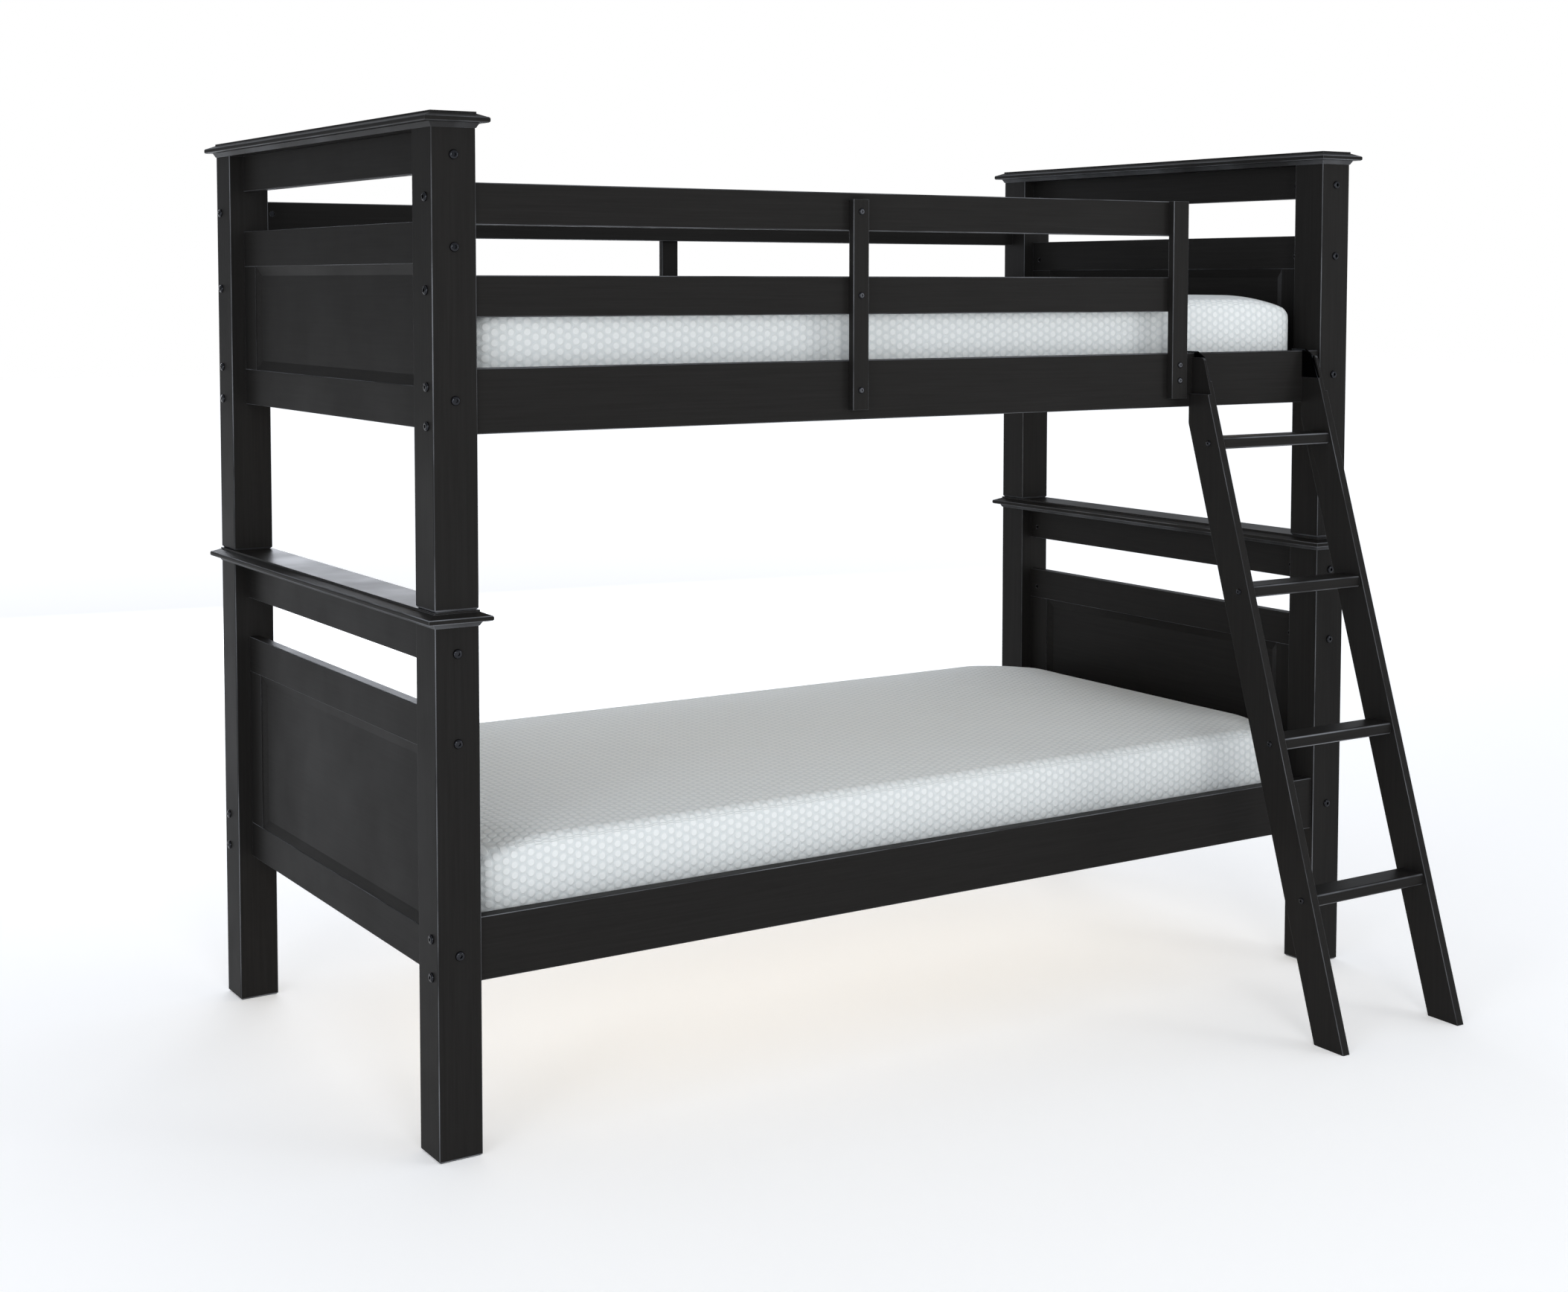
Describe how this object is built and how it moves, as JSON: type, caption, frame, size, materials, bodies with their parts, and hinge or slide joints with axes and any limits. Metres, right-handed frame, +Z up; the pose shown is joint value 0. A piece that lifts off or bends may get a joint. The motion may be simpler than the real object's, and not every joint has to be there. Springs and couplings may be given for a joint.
{
  "type": "bunk bed with ladder",
  "caption": "Black wooden bunk bed: stacked panelled twin frames with moulded end caps, guard rails, slatted bases, mattresses and a hook-on slanted ladder.",
  "frame": {"origin": "on the floor, under the middle of the bed and ladder together", "axes": "+X along the beds towards the ladder end, -Y towards the front with the ladder, +Z up"},
  "size_m": [2.096, 1.503, 1.707],
  "materials": {
    "black_wood": "satin black paint on solid wood",
    "slat_wood": "unfinished sanded pine",
    "black_steel": "satin black steel",
    "steel_pin": "plain steel pin",
    "mattress_knit": "white quilted knit cover"
  },
  "bodies": {
    "upper_bed": {"guard_front_board_lower": "black_wood", "guard_front_board_upper": "black_wood", "guard_front_centre_upright": "black_wood", "guard_front_end_upright": "black_wood", "guard_rear_board_lower": "black_wood", "guard_rear_board_upper": "black_wood", "guard_rear_upright": "black_wood", "guard_screws": "black_steel", "upper_bottom_rail_left": "black_wood", "upper_bottom_rail_right": "black_wood", "upper_cleats": "slat_wood", "upper_connectors": "black_steel", "upper_crown_cap_left": "black_wood", "upper_crown_cap_right": "black_wood", "upper_middle_rail_left": "black_wood", "upper_middle_rail_right": "black_wood", "upper_panel_left": "black_wood", "upper_panel_right": "black_wood", "upper_panel_stiles": "black_wood", "upper_post_front_left": "black_wood", "upper_post_front_right": "black_wood", "upper_post_rear_left": "black_wood", "upper_post_rear_right": "black_wood", "upper_side_rail_front": "black_wood", "upper_side_rail_rear": "black_wood", "upper_slats": "slat_wood", "upper_top_rail_left": "black_wood", "upper_top_rail_right": "black_wood"},
    "ladder": {"ladder_hook_left": "black_steel", "ladder_hook_right": "black_steel", "ladder_rung_1": "black_wood", "ladder_rung_2": "black_wood", "ladder_rung_3": "black_wood", "ladder_rung_4": "black_wood", "ladder_screws": "black_steel", "ladder_stile_left": "black_wood", "ladder_stile_right": "black_wood"},
    "lower_bed": {"lower_bottom_rail_left": "black_wood", "lower_bottom_rail_right": "black_wood", "lower_cleats": "slat_wood", "lower_connectors": "black_steel", "lower_crown_cap_left": "black_wood", "lower_crown_cap_right": "black_wood", "lower_middle_rail_left": "black_wood", "lower_middle_rail_right": "black_wood", "lower_panel_left": "black_wood", "lower_panel_right": "black_wood", "lower_panel_stiles": "black_wood", "lower_post_front_left": "black_wood", "lower_post_front_right": "black_wood", "lower_post_rear_left": "black_wood", "lower_post_rear_right": "black_wood", "lower_side_rail_front": "black_wood", "lower_side_rail_rear": "black_wood", "lower_slats": "slat_wood", "lower_top_rail_left": "black_wood", "lower_top_rail_right": "black_wood", "stacking_dowels": "steel_pin"},
    "lower_mattress": {"lower_mattress": "mattress_knit"},
    "upper_mattress": {"upper_mattress": "mattress_knit"}
  },
  "joints": [
    {"name": "upper_bed_lift", "type": "slide", "parent": "lower_bed", "child": "upper_bed", "axis": [0, 0, 1], "range_m": [0, 0.1]},
    {"name": "ladder_lift", "type": "slide", "parent": "upper_bed", "child": "ladder", "axis": [0, 0, 1], "range_m": [0, 0.12]},
    {"name": "upper_mattress_lift", "type": "slide", "parent": "upper_bed", "child": "upper_mattress", "axis": [0, 0, 1], "range_m": [0, 0.2]},
    {"name": "lower_mattress_lift", "type": "slide", "parent": "lower_bed", "child": "lower_mattress", "axis": [0, 0, 1], "range_m": [0, 0.15]}
  ]
}
